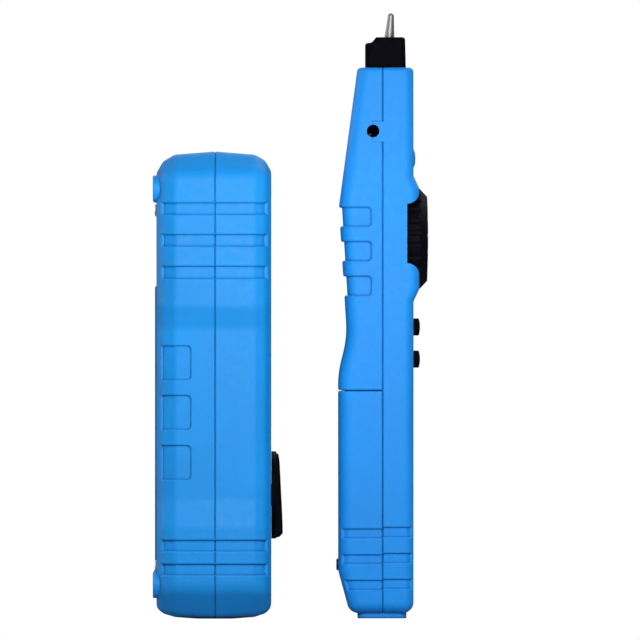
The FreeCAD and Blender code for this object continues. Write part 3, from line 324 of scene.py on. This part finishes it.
def battery_can():
    a = Mat("battery_wrap", (0.02, 0.02, 0.024), 0.30)
    sep = a.n("ShaderNodeSeparateXYZ")
    a.link(a.coord.outputs["Generated"], sep.inputs["Vector"])
    band = a.rng(sep.outputs["Z"], 0.72, 0.725, 0.0, 1.0)
    col = a.mix(band, (0.018, 0.018, 0.022), (0.55, 0.33, 0.10))
    a.link(col, a.p.inputs["Base Color"])
    a.link(a.rng(a.noise(180.0, 3.0), 0.3, 0.7, 0.24, 0.38), a.p.inputs["Roughness"])
    a.bump(a.noise(1500.0), 0.05, 0.02 * MM)
    return a.m


def coil():
    a = Mat("enamelled_copper", (0.62, 0.24, 0.09), 0.28, metallic=1.0)
    w = a.n("ShaderNodeTexWave", wave_type="BANDS", bands_direction="Z")
    w.inputs["Scale"].default_value = 900.0
    a.link(a.coord.outputs["Object"], w.inputs["Vector"])
    # The colour runs from dark bands to light ones across each turn: painted shade in the gaps between the wire turns,
    # alongside the bump.
    a.link(a.ramp(w.outputs["Fac"], [(0.0, (0.30, 0.10, 0.03)), (0.6, (0.66, 0.26, 0.10))]), a.p.inputs["Base Color"])
    a.link(a.rng(a.noise(500.0), 0.3, 0.7, 0.22, 0.4), a.p.inputs["Roughness"])
    a.bump(w.outputs["Fac"], 0.6, 0.08 * MM)
    return a.m


def ferrite():
    a = Mat("ferrite_grey", (0.045, 0.045, 0.05), 0.5)
    g = a.noise(2600.0, 3.0)
    a.link(a.ramp(g, [(0.3, (0.03, 0.03, 0.034)), (0.75, (0.07, 0.07, 0.075))]), a.p.inputs["Base Color"])
    a.link(a.rng(g, 0.3, 0.7, 0.42, 0.6), a.p.inputs["Roughness"])
    a.bump(g, 0.3, 0.03 * MM)
    return a.m


def floor_mat():
    a = Mat("pale_floor", (0.40, 0.40, 0.40), 0.85, specular=0.0)
    a.link(a.ramp(a.noise(3.0, 4.0), [(0.3, (0.39, 0.39, 0.39)), (0.7, (0.41, 0.41, 0.41))]), a.p.inputs["Base Color"])
    a.bump(a.noise(420.0), 0.02, 0.2 * MM)
    glow = a.n("ShaderNodeEmission")
    glow.inputs["Strength"].default_value = 0.93
    path = a.n("ShaderNodeLightPath")
    lit = a.n("ShaderNodeMixShader")
    both = a.n("ShaderNodeAddShader")
    a.link(path.outputs["Is Camera Ray"], lit.inputs["Fac"])
    a.link(glow.outputs["Emission"], both.inputs[0])
    a.link(a.p.outputs["BSDF"], both.inputs[1])
    a.link(a.p.outputs["BSDF"], lit.inputs[1])
    a.link(both.outputs["Shader"], lit.inputs[2])
    a.link(lit.outputs["Shader"], a.out.inputs["Surface"])
    return a.m


mat_board = board()
mat_red = lens("lens_red", (0.75, 0.05, 0.03))
mat_clear = lens("lens_clear", (0.92, 0.94, 0.95))
mat_battery = battery_can()
mat_coil = coil()
mat_ferrite = ferrite()
mat_white = moulded("print_white", (0.80, 0.80, 0.78), 0.5, grain=0.06 * MM, strength=0.05, vary=0.02)
floor.data.materials.append(floor_mat())

LOOK = {
    "transmitter_front_shell": mat_blue_tx, "transmitter_rear_shell": mat_blue_tx, "transmitter_battery_door": mat_blue_tx,
    "receiver_front_shell": mat_blue_rx, "receiver_rear_shell": mat_blue_rx, "receiver_battery_door": mat_blue_rx,
    "transmitter_front_overlay": mat_overlay, "transmitter_indicator_leds": mat_red,
    "transmitter_circuit_board": mat_board, "receiver_circuit_board": mat_board,
    "transmitter_board_screws": mat_zinc, "transmitter_case_screws": mat_zinc, "receiver_case_screws": mat_zinc,
    "transmitter_battery_door_screw": mat_blackscrew, "receiver_battery_door_screw": mat_blackscrew,
    "transmitter_board_components": mat_socket, "receiver_board_components": mat_socket,
    "transmitter_buzzer": mat_socket, "transmitter_rj45_socket": mat_socket, "transmitter_rj11_socket": mat_socket,
    "transmitter_rj45_contacts": mat_gold, "transmitter_rj11_contacts": mat_gold,
    "transmitter_switch_body": mat_socket, "transmitter_switch_shaft": mat_socket,
    "transmitter_selector_knob": mat_knob, "receiver_gain_knob": mat_knob,
    "transmitter_battery": mat_battery, "receiver_battery": mat_battery,
    "transmitter_battery_studs": mat_stud, "receiver_battery_studs": mat_stud,
    "transmitter_battery_clip": mat_tray, "receiver_battery_clip": mat_tray, "receiver_battery_tray": mat_tray,
    "receiver_nose": mat_black, "receiver_torch_lens": mat_clear, "receiver_probe_tip": mat_nickel,
    "receiver_ferrite_rod": mat_ferrite, "receiver_pickup_coil": mat_coil, "receiver_signal_led": mat_red,
    "receiver_earphone_jack": mat_jack, "receiver_gain_pot": mat_can, "receiver_pot_shaft": mat_socket,
    "receiver_button_switches": mat_socket, "receiver_speaker": mat_socket,
    "receiver_upper_button": mat_rubber, "receiver_lower_button": mat_rubber,
}
for name, obj in N.items():
    obj.data.materials.clear()
    obj.data.materials.append(LOOK[name])

# ------------------------------------------------------------------ printed marks
TX = -27.16
RX = 33.11
_trees = {}


def tree(node):
    if node not in _trees:
        m = bmesh.new()
        m.from_mesh(N[node].data)
        _trees[node] = BVHTree.FromBMesh(m)
        m.free()
    return _trees[node]


def front_of(node, y, z):
    """Outermost point of a node straight out along +X, in millimetres."""
    hit = tree(node).ray_cast(Vector((0.2, y * MM, z * MM)), Vector((-1, 0, 0)))
    return hit[0].x / MM if hit[0] is not None else None


def printed(name, outlines, node, body, thick=0.045, cell=None):
    """Ink on a front: flat outlines in y and z laid on the node's outer face as a thin closed layer."""
    m = bmesh.new()
    for pts in outlines:
        m.faces.new([m.verts.new((0.0, y, z)) for y, z in pts])
    bmesh.ops.remove_doubles(m, verts=m.verts[:], dist=1e-4)
    if cell:
        for axis in (1, 2):
            vals = [v.co[axis] for v in m.verts]
            lo, hi = min(vals), max(vals)
            n = int((hi - lo) / cell)
            for i in range(1, n + 1):
                no = Vector((0, 0, 0))
                no[axis] = 1.0
                co = Vector((0, 0, 0))
                co[axis] = lo + (hi - lo) * i / (n + 1)
                bmesh.ops.bisect_plane(m, geom=m.verts[:] + m.edges[:] + m.faces[:], plane_co=co, plane_no=no)
        bmesh.ops.remove_doubles(m, verts=m.verts[:], dist=2e-3)
        bmesh.ops.dissolve_degenerate(m, edges=m.edges[:], dist=1e-3)
    for f in m.faces:
        f.normal_update()
        if f.normal.x < 0:
            f.normal_flip()
    under = bmesh.ops.duplicate(m, geom=m.verts[:] + m.edges[:] + m.faces[:])
    vmap = under["vert_map"]
    low = [g for g in under["geom"] if isinstance(g, bmesh.types.BMFace)]
    low_verts = set(v for f in low for v in f.verts)
    rim = [e for e in m.edges if len(e.link_faces) == 1 and not (e.verts[0] in low_verts)]
    for e in rim:
        a, b = e.verts
        m.faces.new((a, vmap[a], vmap[b], b))
    for f in low:
        f.normal_flip()
    for v in m.verts:
        x = front_of(node, v.co.y, v.co.z)
        if x is None:
            raise RuntimeError(f"{name} leaves {node}")
        v.co.x = x + (-0.05 if v in low_verts else thick)
        v.co *= MM
    bmesh.ops.recalc_face_normals(m, faces=m.faces)
    data = bpy.data.meshes.new(name)
    m.to_mesh(data)
    m.free()
    o = bpy.data.objects.new(name, data)
    scene.collection.objects.link(o)
    o.data.materials.append(mat_white)
    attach(o, body)
    return o


def bar(y, z, length, width, angle):
    """Rounded bar centred at y, z with its length along angle (0 is up, clockwise seen from the front)."""
    r = width / 2
    pts = []
    for k in range(9):
        t = math.pi * k / 8
        pts.append((r * math.cos(t), length / 2 - r + r * math.sin(t)))
    for k in range(9):
        t = math.pi + math.pi * k / 8
        pts.append((r * math.cos(t), -length / 2 + r + r * math.sin(t)))
    c, d = math.cos(angle), math.sin(angle)
    return [(y + u * c + v * d, z - u * d + v * c) for u, v in pts]


def numeral(text, y, z, height, angle=0.0):
    """Outlines of a figure centred at y, z, as polygons without holes."""
    cu = bpy.data.curves.new("figure", "FONT")
    cu.body = text
    cu.align_x = "CENTER"
    cu.align_y = "CENTER"
    cu.size = height / 0.70
    cu.resolution_u = 4
    cu.dimensions = "2D"
    cu.fill_mode = "FRONT"
    tmp = bpy.data.objects.new("figure", cu)
    scene.collection.objects.link(tmp)
    bpy.context.view_layer.update()
    me = bpy.data.meshes.new_from_object(tmp.evaluated_get(bpy.context.evaluated_depsgraph_get()))
    us = [v.co.x for v in me.vertices]
    vs = [v.co.y for v in me.vertices]
    cu_, cv_ = (min(us) + max(us)) / 2, (min(vs) + max(vs)) / 2
    c, d = math.cos(angle), math.sin(angle)
    pts = [(y + (v.co.x - cu_) * c + (v.co.y - cv_) * d, z - (v.co.x - cu_) * d + (v.co.y - cv_) * c) for v in me.vertices]
    polys = [[pts[i] for i in f.vertices] for f in me.polygons]
    bpy.data.objects.remove(tmp)
    bpy.data.curves.remove(cu)
    bpy.data.meshes.remove(me)
    return polys


def ring_line(y0, y1, z0, z1, radius, width):
    """A thin rounded frame as a run of quads."""
    loops = []
    for inset in (0.0, width):
        r = radius - inset
        loop = []
        for cy, cz, start in ((y1 - radius, z1 - radius, 0), (y0 + radius, z1 - radius, 90),
                              (y0 + radius, z0 + radius, 180), (y1 - radius, z0 + radius, 270)):
            for k in range(7):
                t = math.radians(start + 15 * k)
                loop.append((cy + r * math.cos(t), cz + r * math.sin(t)))
        loops.append(loop)
    n = len(loops[0])
    return [[loops[0][i], loops[0][(i + 1) % n], loops[1][(i + 1) % n], loops[1][i]] for i in range(n)]


KNOB_Z = 44.35
dial = []
for deg, text in ((-60, "1"), (0, "0"), (60, "2")):
    t = math.radians(deg)
    dial.append(bar(18.4 * math.sin(t), KNOB_Z + 18.4 * math.cos(t), 2.6, 0.7, t))
    dial += numeral(text, 22.4 * math.sin(t), KNOB_Z + 22.4 * math.cos(t), 3.4)
printed("transmitter_dial_print", dial, "transmitter_front_overlay", "transmitter")

lamps = []
for i in range(9):
    y = -21.0 + 5.25 * i
    lamps += numeral("12345678G"[i], y, 126.6, 2.5)
printed("transmitter_lamp_print", lamps, "transmitter_front_overlay", "transmitter")
printed("transmitter_panel_line", ring_line(-25.4, 25.4, 14.6, 152.4, 3.0, 0.4), "transmitter_front_overlay", "transmitter")
printed("transmitter_selector_line", [bar(0.0, KNOB_Z + 9.4, 8.0, 1.1, 0.0)], "transmitter_selector_knob",
        "transmitter_selector", cell=0.6)

GAIN_Z = 136.66
gain = []
for n in range(11):
    t = math.radians(-28.0 * (n - 5))
    gain += numeral(str(n), 11.3 * math.sin(t), GAIN_Z + 11.3 * math.cos(t), 2.3, t)
    gain.append(bar(13.75 * math.sin(t), GAIN_Z + 13.75 * math.cos(t), 1.3, 0.5, t))
printed("receiver_gain_print", gain, "receiver_gain_knob", "receiver_gain_control")
printed("receiver_gain_index", [[(-1.25, 159.6), (-0.16, 157.5), (0.16, 157.5), (1.25, 159.6)]], "receiver_front_shell", "receiver",
        cell=0.5)

# ------------------------------------------------------------------ contact spring seen inside the earphone socket
JACK_X, JACK_Z = RX - 3.46, 175.4


def contact_spring():
    """A bent strip of plated spring metal in the lower rear of the bore, its crown towards the mouth."""
    m = bmesh.new()
    path = [(-17.3, 1.66), (-16.9, 1.30), (-16.4, 1.08), (-15.8, 1.02), (-15.2, 1.10), (-14.4, 1.34), (-13.4, 1.62)]
    turn = math.radians(228)
    ux, uz = math.cos(turn), math.sin(turn)
    rows = []
    for y, r in path:
        row = []
        for side in (-0.42, -0.2, 0.0, 0.2, 0.42):
            for rr in (r, r + 0.14):
                bow = 0.10 * (1 - (side / 0.42) ** 2)
                px = JACK_X + ux * (rr - bow) - uz * side
                pz = JACK_Z + uz * (rr - bow) + ux * side
                row.append(m.verts.new((px * MM, y * MM, pz * MM)))
        rows.append(row)
    for a, b in zip(rows, rows[1:]):
        for k in range(4):
            m.faces.new((a[2 * k], a[2 * k + 2], b[2 * k + 2], b[2 * k]))
            m.faces.new((a[2 * k + 1], b[2 * k + 1], b[2 * k + 3], a[2 * k + 3]))
        m.faces.new((a[0], b[0], b[1], a[1]))
        m.faces.new((a[8], a[9], b[9], b[8]))
    for row in (rows[0], rows[-1]):
        for k in range(4):
            m.faces.new((row[2 * k], row[2 * k + 1], row[2 * k + 3], row[2 * k + 2]))
    bmesh.ops.recalc_face_normals(m, faces=m.faces)
    data = bpy.data.meshes.new("receiver_jack_contact")
    m.to_mesh(data)
    m.free()
    o = bpy.data.objects.new("receiver_jack_contact", data)
    scene.collection.objects.link(o)
    for f in o.data.polygons:
        f.use_smooth = True
    o.data.materials.append(mat_stud)
    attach(o, "receiver")
    return o


contact_spring()
